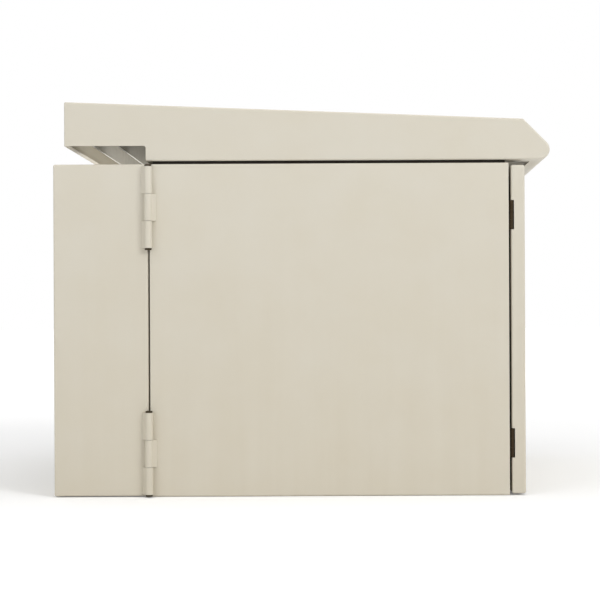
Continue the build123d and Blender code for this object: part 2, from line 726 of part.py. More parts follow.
def latch_door(shell, door, outer_x, outward, cam_x):
    housings = []
    nuts = []
    for level, z in latch_levels:
        housings.append(latch_housing(outer_x, outward, z))
        nuts.append(latch_nut_ring(outer_x, outward, z))
        spindle = latch_spindle(outer_x, outward, cam_x, z)
        export_step(spindle, f"parts/{door}_latch_{level}_spindle.step")
        export_step(latch_cam(outward, cam_x, z), f"parts/{door}_latch_{level}_cam.step")
        shell -= rod(latch_barrel_radius + screw_gap, outer_x, outer_x - outward * sheet, latch_y, z)
    export_step(Compound(housings), f"parts/{door}_latch_housings.step")
    export_step(Compound(nuts), f"parts/{door}_latch_nuts.step")
    export_step(shell, f"parts/{door}_door_shell.step")


latch_door(deep_door_shell, "deep", deep_outer_x, -1, deep_cam_x)
latch_door(shallow_door_shell, "shallow", shallow_outer_x, 1, shallow_cam_x)

# Brackets on the far wall of the deep door that steady the long spindles
bracket_height = 30.0
bracket_foot = 20.0
bracket_inset = 14.0
bracket_edge = 10.0
bracket_x = deep_inner_x - bracket_inset
bracket_wall = far_face - sheet
brackets = []
for level, z in latch_levels:
    low = z - bracket_height / 2
    high = z + bracket_height / 2
    bracket = block(bracket_x - sheet, bracket_x, latch_y - bracket_edge, bracket_wall, low, high)
    bracket += block(bracket_x - bracket_foot, bracket_x, bracket_wall - sheet, bracket_wall, low, high)
    bracket -= rod(latch_shaft_radius + running_gap, bracket_x - sheet, bracket_x, latch_y, z)
    brackets.append(bracket)
export_step(Compound(brackets), "parts/deep_latch_brackets.step")
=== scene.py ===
from math import pi, radians, sqrt

import bmesh
import bpy
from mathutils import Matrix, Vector, noise


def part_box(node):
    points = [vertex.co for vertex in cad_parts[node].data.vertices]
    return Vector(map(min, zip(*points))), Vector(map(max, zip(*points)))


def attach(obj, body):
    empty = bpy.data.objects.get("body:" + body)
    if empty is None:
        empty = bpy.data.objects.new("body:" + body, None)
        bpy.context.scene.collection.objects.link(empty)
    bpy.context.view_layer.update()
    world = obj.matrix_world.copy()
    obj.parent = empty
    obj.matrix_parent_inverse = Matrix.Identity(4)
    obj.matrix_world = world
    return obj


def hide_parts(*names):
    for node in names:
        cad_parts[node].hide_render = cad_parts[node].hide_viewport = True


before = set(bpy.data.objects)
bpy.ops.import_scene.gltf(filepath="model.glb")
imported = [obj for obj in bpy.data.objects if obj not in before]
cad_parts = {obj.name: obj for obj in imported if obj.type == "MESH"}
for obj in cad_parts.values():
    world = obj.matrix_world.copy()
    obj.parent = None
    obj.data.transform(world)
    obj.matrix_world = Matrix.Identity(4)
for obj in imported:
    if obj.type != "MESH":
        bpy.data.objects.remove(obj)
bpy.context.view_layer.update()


# Body: two side panels, a floor, a top and two door frames, cut from 1.5 mm steel sheet, folded and
# welded into one box. It is sprayed with pebble beige polyester powder and baked, which leaves a
# satin skin with a faint orange peel. The skin is painted lighter on the edges, for a thin coat and as
# a painted highlight on the folds. It is painted darker towards the bottom, for road dust and as
# painted shade of light from above. Dust also lies on faces that look up.
def linear(hex_code):
    channels = [int(hex_code[i:i + 2], 16) / 255 for i in (1, 3, 5)]
    return *(c / 12.92 if c <= 0.04045 else ((c + 0.055) / 1.055) ** 2.4 for c in channels), 1.0


def feed(node, inputs):
    for socket, value in inputs.items():
        for one in value if isinstance(value, list) else [value]:
            if isinstance(one, bpy.types.NodeSocket):
                node.id_data.links.new(one, node.inputs[socket])
            else:
                node.inputs[socket].default_value = one


def add(tree, kind, inputs=None, **settings):
    node = tree.nodes.new(kind)
    for name, value in settings.items():
        setattr(node, name, value)
    feed(node, inputs or {})
    return node


def start_material(name):
    material = bpy.data.materials.new(name)
    material.use_nodes = True
    tree = material.node_tree
    return material, tree, tree.nodes["Principled BSDF"], add(tree, "ShaderNodeTexCoord").outputs


def dress(material, *names):
    for name in names:
        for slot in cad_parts[name].material_slots:
            slot.material = material


# In the materials, sockets 1 to 4 of Map Range are its two ranges, and 6 and 7 of Mix its two colours.
# A noise pattern lies mostly between noise_low and noise_high.
paint_colour = "#d7d2c5"
paint_warm = "#d3ccbb"
# The edges are painted lighter: a thin coat on the folds, and a painted highlight along them.
paint_thin_and_highlight = "#e0dbcf"
paint_dust_and_shade = "#b7aa90"
paint_rough = (0.42, 0.52)
paint_specular = 0.35
peel_mm = 3.0
peel_depth = 0.00005
mottle_mm = 60.0
streak_mm = 16.0
streak_stretch = 0.05
thin_and_highlight_edge = 0.0007
thin_and_highlight_show = 0.7
# From about the top of the body down, the colour is painted darker towards the bottom: road dust, and
# painted shade of light falling from above.
dust_and_shade_height = 0.42
dust_and_shade_low_down = 0.5
dust_on_top = 0.6
noise_low = 0.3
noise_high = 0.7

powder_coat, tree, shader, place = start_material("polyester_powder_coat_baked_on_steel")
peel = add(tree, "ShaderNodeTexNoise", {"Vector": place["Object"], "Scale": 1000 / peel_mm, "Detail": 1.0})
mottle = add(tree, "ShaderNodeTexNoise",
    {"Vector": place["Object"], "Scale": 1000 / mottle_mm, "Detail": 4.0})
fall = add(tree, "ShaderNodeMapping", {"Vector": place["Object"], "Scale": (1.0, 1.0, streak_stretch)})
streak = add(tree, "ShaderNodeTexNoise",
    {"Vector": fall.outputs[0], "Scale": 1000 / streak_mm, "Detail": 3.0})
tone = add(tree, "ShaderNodeMix",
    {0: mottle.outputs[0], 6: linear(paint_colour), 7: linear(paint_warm)}, data_type="RGBA")
height = add(tree, "ShaderNodeSeparateXYZ", {0: place["Object"]})
# Darker towards the bottom: road dust, and painted shade of light falling from above.
low_dust_and_shade = add(tree, "ShaderNodeMapRange",
    {0: height.outputs["Z"], 1: dust_and_shade_height, 2: 0.0, 3: 0.0, 4: dust_and_shade_low_down})
facing = add(tree, "ShaderNodeSeparateXYZ", {0: place["Normal"]})
upward = add(tree, "ShaderNodeMapRange", {0: facing.outputs["Z"], 1: 0.5, 2: 1.0, 3: 0.0, 4: dust_on_top})
settled_dust_and_shade = add(tree, "ShaderNodeMath", {0: low_dust_and_shade.outputs[0], 1: upward.outputs[0]}, operation="MAXIMUM")
patchy = add(tree, "ShaderNodeMapRange", {0: streak.outputs[0], 1: 0.2, 2: 0.8, 3: 0.4, 4: 0.6})
dust_and_shade = add(tree, "ShaderNodeMath", {0: settled_dust_and_shade.outputs[0], 1: patchy.outputs[0]}, operation="MULTIPLY")
dusty_and_shaded = add(tree, "ShaderNodeMix",
    {0: dust_and_shade.outputs[0], 6: tone.outputs[2], 7: linear(paint_dust_and_shade)}, data_type="RGBA")
# Lighter edges: a thin coat, and a painted highlight along the rounded folds.
rounded = add(tree, "ShaderNodeBevel", {"Radius": thin_and_highlight_edge}, samples=4)
flat = add(tree, "ShaderNodeNewGeometry")
bend = add(tree, "ShaderNodeVectorMath",
    {0: rounded.outputs[0], 1: flat.outputs["Normal"]}, operation="DOT_PRODUCT")
edge = add(tree, "ShaderNodeMapRange", {0: bend.outputs["Value"], 1: 1.0, 2: 0.8, 3: 0.0, 4: thin_and_highlight_show})
edge_thin_and_highlight = add(tree, "ShaderNodeMix",
    {0: edge.outputs[0], 6: dusty_and_shaded.outputs[2], 7: linear(paint_thin_and_highlight)}, data_type="RGBA")
satin = add(tree, "ShaderNodeMapRange",
    {0: mottle.outputs[0], 1: noise_low, 2: noise_high, 3: paint_rough[0], 4: paint_rough[1]})
matt = add(tree, "ShaderNodeMath", {0: satin.outputs[0], 1: dust_and_shade.outputs[0]}, operation="ADD")
bump = add(tree, "ShaderNodeBump",
    {"Height": peel.outputs[0], "Strength": 0.5, "Distance": peel_depth, "Normal": rounded.outputs[0]})
feed(shader, {
    "Base Color": edge_thin_and_highlight.outputs[2],
    "Roughness": matt.outputs[0],
    "Normal": bump.outputs[0],
    "Specular IOR Level": paint_specular,
})
dress(powder_coat, "near_side_panel", "far_side_panel", "floor_pan", "top_panel")
dress(powder_coat, "deep_door_frame", "shallow_door_frame")


# Rack rails, gland plate and brackets of the long latches: hot-dip galvanised sheet, cut, folded and
# fixed after painting. The zinc freezes in flat crystals, which show as dull and bright patches.
zinc_bright = "#a7acaf"
zinc_dull = "#8a9196"
spangle_mm = 9.0
# Handling scratches, drawn coarser than the real ones, so that they show.
scratch_mm = 0.8
scratch_depth = 0.00003
zinc_sheet_rough = (0.32, 0.52)

galvanised, tree, shader, place = start_material("galvanised_steel_sheet")
spangle = add(tree, "ShaderNodeTexVoronoi", {"Vector": place["Object"], "Scale": 1000 / spangle_mm})
patch = add(tree, "ShaderNodeSeparateColor", {0: spangle.outputs["Color"]})
tone = add(tree, "ShaderNodeMix",
    {0: patch.outputs[0], 6: linear(zinc_bright), 7: linear(zinc_dull)}, data_type="RGBA")
sheen = add(tree, "ShaderNodeMapRange",
    {0: patch.outputs[1], 3: zinc_sheet_rough[0], 4: zinc_sheet_rough[1]})
scratch = add(tree, "ShaderNodeTexNoise",
    {"Vector": place["Object"], "Scale": 1000 / scratch_mm, "Detail": 2.0})
bump = add(tree, "ShaderNodeBump",
    {"Height": scratch.outputs[0], "Strength": 0.3, "Distance": scratch_depth})
feed(shader, {
    "Metallic": 1.0,
    "Base Color": tone.outputs[2],
    "Roughness": sheen.outputs[0],
    "Normal": bump.outputs[0],
})
dress(galvanised, "rack_rail_deep_near", "rack_rail_deep_far")
dress(galvanised, "rack_rail_shallow_near", "rack_rail_shallow_far")
dress(galvanised, "gland_plate", "deep_latch_brackets")


# Pan head screws of the rails and the gland plate: cold-headed steel with a cross recess, bright
# zinc plated. They clamp the rails and the plate to the floor pan and the top panel.
def start_tree(name, *lengths, counts=()):
    tree = bpy.data.node_groups.new(name, "GeometryNodeTree")
    kinds = {"Places": "Geometry", **dict.fromkeys(counts, "Int"), **dict.fromkeys(lengths, "Float")}
    for label, kind in {**kinds, "Finish": "Material"}.items():
        tree.interface.new_socket(label, in_out="INPUT", socket_type="NodeSocket" + kind)
    tree.interface.new_socket("Pieces", in_out="OUTPUT", socket_type="NodeSocketGeometry")
    return tree, add(tree, "NodeGroupInput").outputs


def add_shank(tree, sizes, head):
    stem = add(tree, "GeometryNodeMeshCylinder",
        {"Vertices": 16, "Radius": sizes["Shank"], "Depth": sizes["Length"]})
    half = add(tree, "ShaderNodeMath", {0: sizes["Length"], 1: -0.5}, operation="MULTIPLY")
    drop = add(tree, "ShaderNodeCombineXYZ", {2: half.outputs[0]})
    shank = add(tree, "GeometryNodeTransform", {0: stem.outputs["Mesh"], "Translation": drop.outputs[0]})
    return add(tree, "GeometryNodeJoinGeometry", {0: [head, shank.outputs[0]]}).outputs[0]


def end_tree(tree, sizes, piece):
    axis = add(tree, "GeometryNodeInputNamedAttribute", {"Name": "axis"}, data_type="FLOAT_VECTOR")
    aim = add(tree, "FunctionNodeAlignRotationToVector", {"Vector": axis.outputs[0]}, axis="Z")
    placed = add(tree, "GeometryNodeInstanceOnPoints",
        {"Points": sizes["Places"], "Instance": piece, "Rotation": aim.outputs[0]})
    real = add(tree, "GeometryNodeRealizeInstances", {0: placed.outputs[0]})
    finish = add(tree, "GeometryNodeSetMaterial", {0: real.outputs[0], "Material": sizes["Finish"]})
    add(tree, "NodeGroupOutput", {0: finish.outputs[0]})


def grow(name, tree, places, axes, **sizes):
    seed = bpy.data.objects.new(name, bpy.data.meshes.new(name))
    seed.data.from_pydata(places, [], [])
    axis = seed.data.attributes.new("axis", "FLOAT_VECTOR", "POINT")
    axis.data.foreach_set("vector", [part for one in axes for part in one])
    bpy.context.scene.collection.objects.link(seed)
    modifier = seed.modifiers.new(name, "NODES")
    modifier.node_group = tree
    for socket in tree.interface.items_tree:
        if socket.in_out == "INPUT" and socket.name in sizes:
            modifier[socket.identifier] = sizes[socket.name]
    graph = bpy.context.evaluated_depsgraph_get()
    mesh = bpy.data.meshes.new_from_object(seed.evaluated_get(graph), depsgraph=graph)
    seed.modifiers.clear()
    seed.data = mesh
    return seed


# Zinc plating is a bright bluish grey, with a faint yellow film where it was passivated.
zinc_tint = "#a8acae"
zinc_yellow = "#a5a18d"
plating_mm = 5.0
plating_depth = 0.0001
plating_rough = (0.24, 0.40)

bright_zinc, tree, shader, place = start_material("bright_zinc_plated_steel")
film = add(tree, "ShaderNodeTexNoise",
    {"Vector": place["Object"], "Scale": 1000 / plating_mm, "Detail": 3.0})
tone = add(tree, "ShaderNodeMix",
    {0: film.outputs[0], 6: linear(zinc_tint), 7: linear(zinc_yellow)}, data_type="RGBA")
sheen = add(tree, "ShaderNodeMapRange",
    {0: film.outputs[0], 1: noise_low, 2: noise_high, 3: plating_rough[0], 4: plating_rough[1]})
bump = add(tree, "ShaderNodeBump", {"Height": film.outputs[0], "Strength": 0.2, "Distance": plating_depth})
feed(shader, {
    "Metallic": 1.0,
    "Base Color": tone.outputs[2],
    "Roughness": sheen.outputs[0],
    "Normal": bump.outputs[0],
})

head_sides = 24
dome_power = 4.0
dome_pull = -0.32
recess_long = 1.05
recess_slim = 0.26
pan_heads, sizes = start_tree("cross_recess_pan_head_screws", "Head", "Height", "Shank", "Length")
blank = add(pan_heads, "GeometryNodeMeshCylinder",
    {"Vertices": head_sides, "Side Segments": 5, "Radius": 1.0, "Depth": 1.0})
raised = add(pan_heads, "GeometryNodeTransform", {0: blank.outputs["Mesh"], "Translation": (0.0, 0.0, 0.5)})
here = add(pan_heads, "GeometryNodeInputPosition")
parts = add(pan_heads, "ShaderNodeSeparateXYZ", {0: here.outputs[0]})
rise = add(pan_heads, "ShaderNodeMath", {0: parts.outputs["Z"], 1: dome_power}, operation="POWER")
dome = add(pan_heads, "ShaderNodeMath",
    {0: rise.outputs[0], 1: dome_pull, 2: 1.0}, operation="MULTIPLY_ADD")
width = add(pan_heads, "ShaderNodeMath", {0: dome.outputs[0], 1: sizes["Head"]}, operation="MULTIPLY")
spread = add(pan_heads, "ShaderNodeCombineXYZ",
    {0: width.outputs[0], 1: width.outputs[0], 2: sizes["Height"]})
swell = add(pan_heads, "ShaderNodeVectorMath",
    {0: here.outputs[0], 1: spread.outputs[0]}, operation="MULTIPLY")
head = add(pan_heads, "GeometryNodeSetPosition", {0: raised.outputs[0], "Position": swell.outputs[0]})
long = add(pan_heads, "ShaderNodeMath", {0: sizes["Head"], 1: recess_long}, operation="MULTIPLY")
slim = add(pan_heads, "ShaderNodeMath", {0: sizes["Head"], 1: recess_slim}, operation="MULTIPLY")
bite = add(pan_heads, "ShaderNodeCombineXYZ", {0: long.outputs[0], 1: slim.outputs[0], 2: sizes["Height"]})
cross = add(pan_heads, "ShaderNodeCombineXYZ", {0: slim.outputs[0], 1: long.outputs[0], 2: sizes["Height"]})
bite_bar = add(pan_heads, "GeometryNodeMeshCube", {"Size": bite.outputs[0]})
cross_bar = add(pan_heads, "GeometryNodeMeshCube", {"Size": cross.outputs[0]})
lift = add(pan_heads, "ShaderNodeCombineXYZ", {2: sizes["Height"]})
bite_up = add(pan_heads, "GeometryNodeTransform",
    {0: bite_bar.outputs["Mesh"], "Translation": lift.outputs[0]})
cross_up = add(pan_heads, "GeometryNodeTransform",
    {0: cross_bar.outputs["Mesh"], "Translation": lift.outputs[0]})
recessed = add(pan_heads, "GeometryNodeMeshBoolean",
    {"Mesh 1": head.outputs[0], "Mesh 2": [bite_up.outputs[0], cross_up.outputs[0]]},
    operation="DIFFERENCE", solver="MANIFOLD")
end_tree(pan_heads, sizes, add_shank(pan_heads, sizes, recessed.outputs["Mesh"]))

up = (0.0, 0.0, 1.0)
down = (0.0, 0.0, -1.0)
screw_head = 0.0045
screw_head_height = 0.003
screw_shank = 0.0025
low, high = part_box("gland_plate_screws")
reach = Vector((high.x - screw_head, high.y - screw_head))
seat = high.z - screw_head_height
gland_screws = grow(
    "gland_plate_screws_cross_recess", pan_heads,
    [(x, y, seat) for x in (-reach.x, reach.x) for y in (-reach.y, reach.y)], [up] * 4,
    Head=screw_head, Height=screw_head_height, Shank=screw_shank, Length=seat - low.z, Finish=bright_zinc,
)
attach(gland_screws, "cabinet")
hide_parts("gland_plate_screws")

low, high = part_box("rail_screws")
reach = Vector((high.x - screw_head, high.y - screw_head))
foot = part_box("rack_rail_deep_near")
rail_sheet = 0.0015
rail_screw_length = 0.003
corners = [(x, y) for x in (-reach.x, reach.x) for y in (-reach.y, reach.y)]
rail_screws = grow(
    "rail_screws_cross_recess", pan_heads,
    [(x, y, z) for z in (foot[0].z + rail_sheet, foot[1].z - rail_sheet) for x, y in corners],
    [up] * 4 + [down] * 4,
    Head=screw_head, Height=screw_head_height, Shank=screw_shank, Length=rail_screw_length,
    Finish=bright_zinc,
)
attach(rail_screws, "cabinet")
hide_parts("rail_screws")


# Cable grommets: moulded EPDM rubber, pressed into the gland plate, each with a thin membrane
# that is cut for its cable. Moulded rubber is matt, nearly black, with a grey bloom.
rubber_black = "#15120d"
rubber_bloom = "#221d16"
bloom_mm = 18.0
# Grains of the mould, drawn coarser than the real ones, so that they show.
grain_mm = 0.7
grain_depth = 0.00008
rubber_rough = (0.62, 0.85)
rubber_specular = 0.2

rubber, tree, shader, place = start_material("moulded_EPDM_rubber")
bloom = add(tree, "ShaderNodeTexNoise",
    {"Vector": place["Object"], "Scale": 1000 / bloom_mm, "Detail": 5.0})
tone = add(tree, "ShaderNodeMix",
    {0: bloom.outputs[0], 6: linear(rubber_black), 7: linear(rubber_bloom)}, data_type="RGBA")
dull = add(tree, "ShaderNodeMapRange",
    {0: bloom.outputs[0], 1: noise_low, 2: noise_high, 3: rubber_rough[0], 4: rubber_rough[1]})
grain = add(tree, "ShaderNodeTexNoise",
    {"Vector": place["Object"], "Scale": 1000 / grain_mm, "Detail": 2.0})
bump = add(tree, "ShaderNodeBump", {"Height": grain.outputs[0], "Strength": 0.4, "Distance": grain_depth})
feed(shader, {
    "Base Color": tone.outputs[2],
    "Specular IOR Level": rubber_specular,
    "Roughness": dull.outputs[0],
    "Normal": bump.outputs[0],
})
dress(rubber, "cable_grommets")


# Earth bar: drawn copper bar on two moulded polyester standoffs, with six brass hexagon screws
# for the earth wires. Drawn copper has lines along the bar and browns unevenly in air.
copper_clean = "#c98a63"
copper_brown = "#9c5f41"
# Lines from the drawing die, drawn coarser than the real ones, so that they show.
draw_mm = 0.6
draw_depth = 0.00004
draw_stretch = 0.02
tarnish_mm = 22.0
copper_rough = (0.25, 0.45)

copper, tree, shader, place = start_material("drawn_copper_bar")
along = add(tree, "ShaderNodeMapping", {"Vector": place["Object"], "Scale": (draw_stretch, 1.0, 1.0)})
lines = add(tree, "ShaderNodeTexNoise",
    {"Vector": along.outputs[0], "Scale": 1000 / draw_mm, "Detail": 2.0})
tarnish = add(tree, "ShaderNodeTexNoise",
    {"Vector": place["Object"], "Scale": 1000 / tarnish_mm, "Detail": 5.0})
tone = add(tree, "ShaderNodeMix",
    {0: tarnish.outputs[0], 6: linear(copper_clean), 7: linear(copper_brown)}, data_type="RGBA")
sheen = add(tree, "ShaderNodeMapRange",
    {0: tarnish.outputs[0], 1: noise_low, 2: noise_high, 3: copper_rough[0], 4: copper_rough[1]})
bump = add(tree, "ShaderNodeBump", {"Height": lines.outputs[0], "Strength": 0.3, "Distance": draw_depth})
feed(shader, {
    "Metallic": 1.0,
    "Base Color": tone.outputs[2],
    "Roughness": sheen.outputs[0],
    "Normal": bump.outputs[0],
})
dress(copper, "earth_bar")

# Moulded polyester is a satin brick red, streaked a little where the glass fibres flowed.
standoff_red = "#8a3226"
standoff_dark = "#6f2a20"
flow_mm = 6.0
flow_depth = 0.0002
standoff_rough = 0.5

polyester, tree, shader, place = start_material("glass_filled_polyester_moulding")
flow = add(tree, "ShaderNodeTexNoise", {"Vector": place["Object"], "Scale": 1000 / flow_mm, "Detail": 4.0})
tone = add(tree, "ShaderNodeMix",
    {0: flow.outputs[0], 6: linear(standoff_red), 7: linear(standoff_dark)}, data_type="RGBA")
bump = add(tree, "ShaderNodeBump", {"Height": flow.outputs[0], "Strength": 0.2, "Distance": flow_depth})
feed(shader, {
    "Roughness": standoff_rough,
    "Base Color": tone.outputs[2],
    "Normal": bump.outputs[0],
})
dress(polyester, "earth_bar_standoffs")

# Turned brass is a clear yellow that dulls in patches, with fine marks of the tool.
brass_clean = "#d2b56d"
brass_dull = "#a98c4c"
# Turning marks, drawn coarser than the real ones, so that they show.
turning_mm = 1.2
brass_rough = (0.22, 0.38)

brass, tree, shader, place = start_material("turned_brass")
turning = add(tree, "ShaderNodeTexNoise",
    {"Vector": place["Object"], "Scale": 1000 / turning_mm, "Detail": 3.0})
tone = add(tree, "ShaderNodeMix",
    {0: turning.outputs[0], 6: linear(brass_clean), 7: linear(brass_dull)}, data_type="RGBA")
sheen = add(tree, "ShaderNodeMapRange",
    {0: turning.outputs[0], 1: noise_low, 2: noise_high, 3: brass_rough[0], 4: brass_rough[1]})
feed(shader, {
    "Metallic": 1.0,
    "Base Color": tone.outputs[2],
    "Roughness": sheen.outputs[0],
})

# The head is a round blank with rings at 0, 1 and 2, which go to the seat, the shoulder and the top.
round_sides = 48
seat_to_shoulder = 0.5
shoulder_to_top = 1.5
crown_share = 0.47
hexagons, sizes = start_tree("chamfered_hexagon_screws", "Across", "Height", "Shank", "Length")
blank = add(hexagons, "GeometryNodeMeshCylinder",
    {"Vertices": round_sides, "Side Segments": 2, "Radius": 1.0, "Depth": 2.0}, fill_type="TRIANGLE_FAN")
raised = add(hexagons, "GeometryNodeTransform", {0: blank.outputs["Mesh"], "Translation": (0.0, 0.0, 1.0)})
here = add(hexagons, "GeometryNodeInputPosition")
parts = add(hexagons, "ShaderNodeSeparateXYZ", {0: here.outputs[0]})
bearing = add(hexagons, "ShaderNodeMath",
    {0: parts.outputs["Y"], 1: parts.outputs["X"]}, operation="ARCTAN2")
sector = add(hexagons, "ShaderNodeMath",
    {0: bearing.outputs[0], 1: radians(60.0)}, operation="FLOORED_MODULO")
swing = add(hexagons, "ShaderNodeMath", {0: sector.outputs[0], 1: radians(30.0)}, operation="SUBTRACT")
slant = add(hexagons, "ShaderNodeMath", {0: swing.outputs[0]}, operation="COSINE")
flat = add(hexagons, "ShaderNodeMath", {0: sizes["Across"], 1: 0.5}, operation="MULTIPLY")
corner = add(hexagons, "ShaderNodeMath", {0: flat.outputs[0], 1: slant.outputs[0]}, operation="DIVIDE")
crown = add(hexagons, "ShaderNodeMath", {0: sizes["Across"], 1: crown_share}, operation="MULTIPLY")
chamfer = add(hexagons, "ShaderNodeMath", {0: corner.outputs[0], 1: crown.outputs[0]}, operation="SUBTRACT")
fall = add(hexagons, "ShaderNodeMath", {0: chamfer.outputs[0], 1: 1 / sqrt(3)}, operation="MULTIPLY")
shoulder = add(hexagons, "ShaderNodeMath", {0: sizes["Height"], 1: fall.outputs[0]}, operation="SUBTRACT")
on_top = add(hexagons, "ShaderNodeMath",
    {0: parts.outputs["Z"], 1: shoulder_to_top}, operation="GREATER_THAN")
off_seat = add(hexagons, "ShaderNodeMath",
    {0: parts.outputs["Z"], 1: seat_to_shoulder}, operation="GREATER_THAN")
pull = add(hexagons, "ShaderNodeMath", {0: on_top.outputs[0], 1: chamfer.outputs[0]}, operation="MULTIPLY")
radius = add(hexagons, "ShaderNodeMath", {0: corner.outputs[0], 1: pull.outputs[0]}, operation="SUBTRACT")
lid = add(hexagons, "ShaderNodeMath",
    {0: on_top.outputs[0], 1: fall.outputs[0], 2: shoulder.outputs[0]}, operation="MULTIPLY_ADD")
rise = add(hexagons, "ShaderNodeMath", {0: off_seat.outputs[0], 1: lid.outputs[0]}, operation="MULTIPLY")
spread = add(hexagons, "ShaderNodeCombineXYZ", {0: radius.outputs[0], 1: radius.outputs[0]})
swell = add(hexagons, "ShaderNodeVectorMath",
    {0: here.outputs[0], 1: spread.outputs[0]}, operation="MULTIPLY")
lift = add(hexagons, "ShaderNodeCombineXYZ", {2: rise.outputs[0]})
chamfered = add(hexagons, "GeometryNodeSetPosition",
    {0: raised.outputs[0], "Position": swell.outputs[0], "Offset": lift.outputs[0]})
end_tree(hexagons, sizes, add_shank(hexagons, sizes, chamfered.outputs[0]))

bar_low, bar_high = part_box("earth_bar")
bar_middle = (bar_low.z + bar_high.z) / 2
earth_pitch = 0.018
earth_count = 6
earth_across = 0.008
earth_head = 0.0035
earth_shank = 0.0025
earth_screws = grow(
    "earth_bar_screws_hexagon", hexagons,
    [((n - (earth_count - 1) / 2) * earth_pitch, bar_low.y, bar_middle) for n in range(earth_count)],
    [(0.0, -1.0, 0.0)] * earth_count,
    Across=earth_across, Height=earth_head, Shank=earth_shank, Length=bar_high.y - bar_low.y, Finish=brass,
)
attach(earth_screws, "cabinet")
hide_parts("earth_bar_screws")


# Fan: a frame and a seven-blade rotor injection moulded in black glass-filled polyester, with a
# plated steel guard. The moulds are spark eroded, so the plastic has a fine matt texture.
plastic_black = "#1a1b1c"
plastic_worn = "#2b2c2d"
# Pits of the spark-eroded mould, drawn coarser than the real ones, so that they show.
spark_mm = 0.5
spark_depth = 0.00005
handling_mm = 30.0
plastic_rough = (0.42, 0.58)

moulded_plastic, tree, shader, place = start_material("injection_moulded_black_polyester")
spark = add(tree, "ShaderNodeTexNoise",
    {"Vector": place["Object"], "Scale": 1000 / spark_mm, "Detail": 1.0})
handling = add(tree, "ShaderNodeTexNoise",
    {"Vector": place["Object"], "Scale": 1000 / handling_mm, "Detail": 4.0})
tone = add(tree, "ShaderNodeMix",
    {0: handling.outputs[0], 6: linear(plastic_black), 7: linear(plastic_worn)}, data_type="RGBA")
sheen = add(tree, "ShaderNodeMapRange",
    {0: handling.outputs[0], 1: noise_low, 2: noise_high, 3: plastic_rough[0], 4: plastic_rough[1]})
bump = add(tree, "ShaderNodeBump", {"Height": spark.outputs[0], "Strength": 0.35, "Distance": spark_depth})
feed(shader, {
    "Base Color": tone.outputs[2],
    "Roughness": sheen.outputs[0],
    "Normal": bump.outputs[0],
})
dress(moulded_plastic, "fan_frame", "fan_rotor")

wire_sides = 10
ring_sides = 72
guard_tree, sizes = start_tree("welded_ring_guard", "Step", "Wire", "Span", counts=["Rings"])
section = add(guard_tree, "GeometryNodeCurvePrimitiveCircle",
    {"Resolution": wire_sides, "Radius": sizes["Wire"]}, mode="RADIUS")
unit = add(guard_tree, "GeometryNodeCurvePrimitiveCircle",
    {"Resolution": ring_sides, "Radius": 1.0}, mode="RADIUS")
row = add(guard_tree, "GeometryNodeMeshLine",
    {"Count": sizes["Rings"], "Offset": (0.0, 0.0, 0.0)}, mode="OFFSET")
index = add(guard_tree, "GeometryNodeInputIndex")
after = add(guard_tree, "ShaderNodeMath", {0: index.outputs[0], 1: 1.0}, operation="ADD")
radius = add(guard_tree, "ShaderNodeMath", {0: after.outputs[0], 1: sizes["Step"]}, operation="MULTIPLY")
inner = add(guard_tree, "ShaderNodeMath", {0: radius.outputs[0], 1: sizes["Wire"]}, operation="SUBTRACT")
circles = add(guard_tree, "GeometryNodeInstanceOnPoints",
    {"Points": row.outputs[0], "Instance": unit.outputs[0], "Scale": inner.outputs[0]})
loops = add(guard_tree, "GeometryNodeRealizeInstances", {0: circles.outputs[0]})
spoke_end = add(guard_tree, "ShaderNodeMath", {0: sizes["Span"], 1: 0.5}, operation="MULTIPLY")
spoke_start = add(guard_tree, "ShaderNodeMath", {0: sizes["Span"], 1: -0.5}, operation="MULTIPLY")
spokes = []
for side in (0, 1):
    start = add(guard_tree, "ShaderNodeCombineXYZ", {side: spoke_start.outputs[0]})
    end = add(guard_tree, "ShaderNodeCombineXYZ", {side: spoke_end.outputs[0]})
    spoke = add(guard_tree, "GeometryNodeCurvePrimitiveLine",
        {"Start": start.outputs[0], "End": end.outputs[0]})
    spokes.append(spoke.outputs[0])
paths = add(guard_tree, "GeometryNodeJoinGeometry", {0: [loops.outputs[0]] + spokes})
wires = add(guard_tree, "GeometryNodeCurveToMesh",
    {0: paths.outputs[0], "Profile Curve": section.outputs[0], "Fill Caps": True})
smooth = add(guard_tree, "GeometryNodeSetShadeSmooth", {0: wires.outputs[0]})
end_tree(guard_tree, sizes, smooth.outputs[0])

low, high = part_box("fan_guard")
guard_rings = 3
guard_outer = 0.057
fan_guard = grow(
    "fan_guard_welded_wire", guard_tree, [(low + high) / 2], [up],
    Rings=guard_rings, Step=guard_outer / guard_rings, Wire=(high.z - low.z) / 2, Span=high.x - low.x,
    Finish=bright_zinc,
)
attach(fan_guard, "cabinet")
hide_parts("fan_guard")

fan_head = 0.0038
fan_head_height = 0.0026
fan_shank = 0.002
low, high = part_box("fan_screws")
reach = Vector((high.x - fan_head, high.y - fan_head))
seat = high.z - fan_head_height
fan_screws = grow(
    "fan_screws_cross_recess", pan_heads,
    [(x, y, seat) for x in (-reach.x, reach.x) for y in (-reach.y, reach.y)], [up] * 4,
    Head=fan_head, Height=fan_head_height, Shank=fan_shank, Length=seat - low.z, Finish=bright_zinc,
)
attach(fan_screws, "cabinet")
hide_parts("fan_screws")


# Roof hood and rain baffles: steel sheet folded to a stepped skirt and a rounded nose, welded and
# powder coated as the body is. Rubber strips bed it, and plated hexagon bolts hold it from inside.
# Powder hardly reaches the baffles under it, so their coat is thin and the grey primer shows through.
dress(powder_coat, "roof_hood")
# The bedding strips run the whole length of the gap under the skirt, so the gap shows their black rubber: a
# real bedding, and a dark strip put in as the gap's painted shade.
dress(rubber, "roof_bedding_strips")
dress(bright_zinc, "roof_nuts")

thin_coat_grey = "#d0cdc5"
thin_coat_zinc = "#c0beb7"
shadow_mm = 11.0
thin_coat_rough = (0.5, 0.68)

